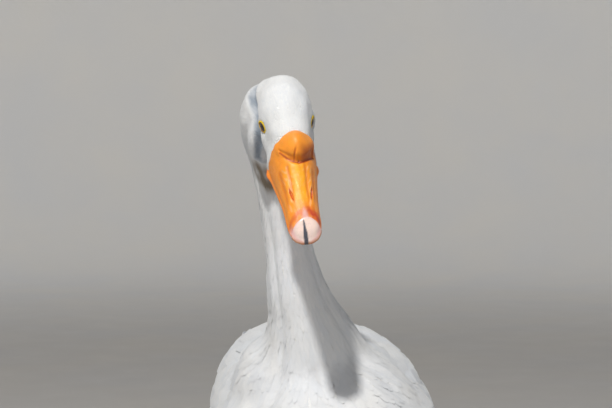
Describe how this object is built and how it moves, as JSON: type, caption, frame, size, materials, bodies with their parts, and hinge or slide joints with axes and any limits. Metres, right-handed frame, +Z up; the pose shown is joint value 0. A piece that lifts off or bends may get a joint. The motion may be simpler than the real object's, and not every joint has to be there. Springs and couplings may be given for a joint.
{
  "type": "domestic goose",
  "caption": "Life-size white domestic goose with a small knob on its orange bill, standing with its neck up and its bill tipped down.",
  "frame": {"origin": "on the floor, under the middle of the goose's bounding box", "axes": "+Z up; the goose's body faces -Y, and its left side is towards +X"},
  "size_m": [0.212, 0.662, 0.6252],
  "materials": {
    "plumage": "matt white feathers with a blue-grey shade",
    "bill": "smooth orange horn, redder at the rims",
    "nail": "polished pale pink horn with a slate streak",
    "eye": "wet and nearly black",
    "leg": "scaled orange skin",
    "claw": "dull horn"
  },
  "bodies": {
    "root": {"bill_lower": "bill", "bill_nail": "nail", "bill_upper": "bill", "claw_hind_left": "claw", "claw_hind_right": "claw", "claw_inner_left": "claw", "claw_inner_right": "claw", "claw_middle_left": "claw", "claw_middle_right": "claw", "claw_outer_left": "claw", "claw_outer_right": "claw", "eye_left": "eye", "eye_right": "eye", "foot_left": "leg", "foot_right": "leg", "head": "plumage", "neck_lower": "plumage", "neck_upper": "plumage", "primaries_left": "plumage", "primaries_right": "plumage", "shank_left": "leg", "shank_right": "leg", "tail": "plumage", "thigh_left": "plumage", "thigh_right": "plumage", "trunk": "plumage", "wing_left": "plumage", "wing_right": "plumage"}
  },
  "joints": []
}
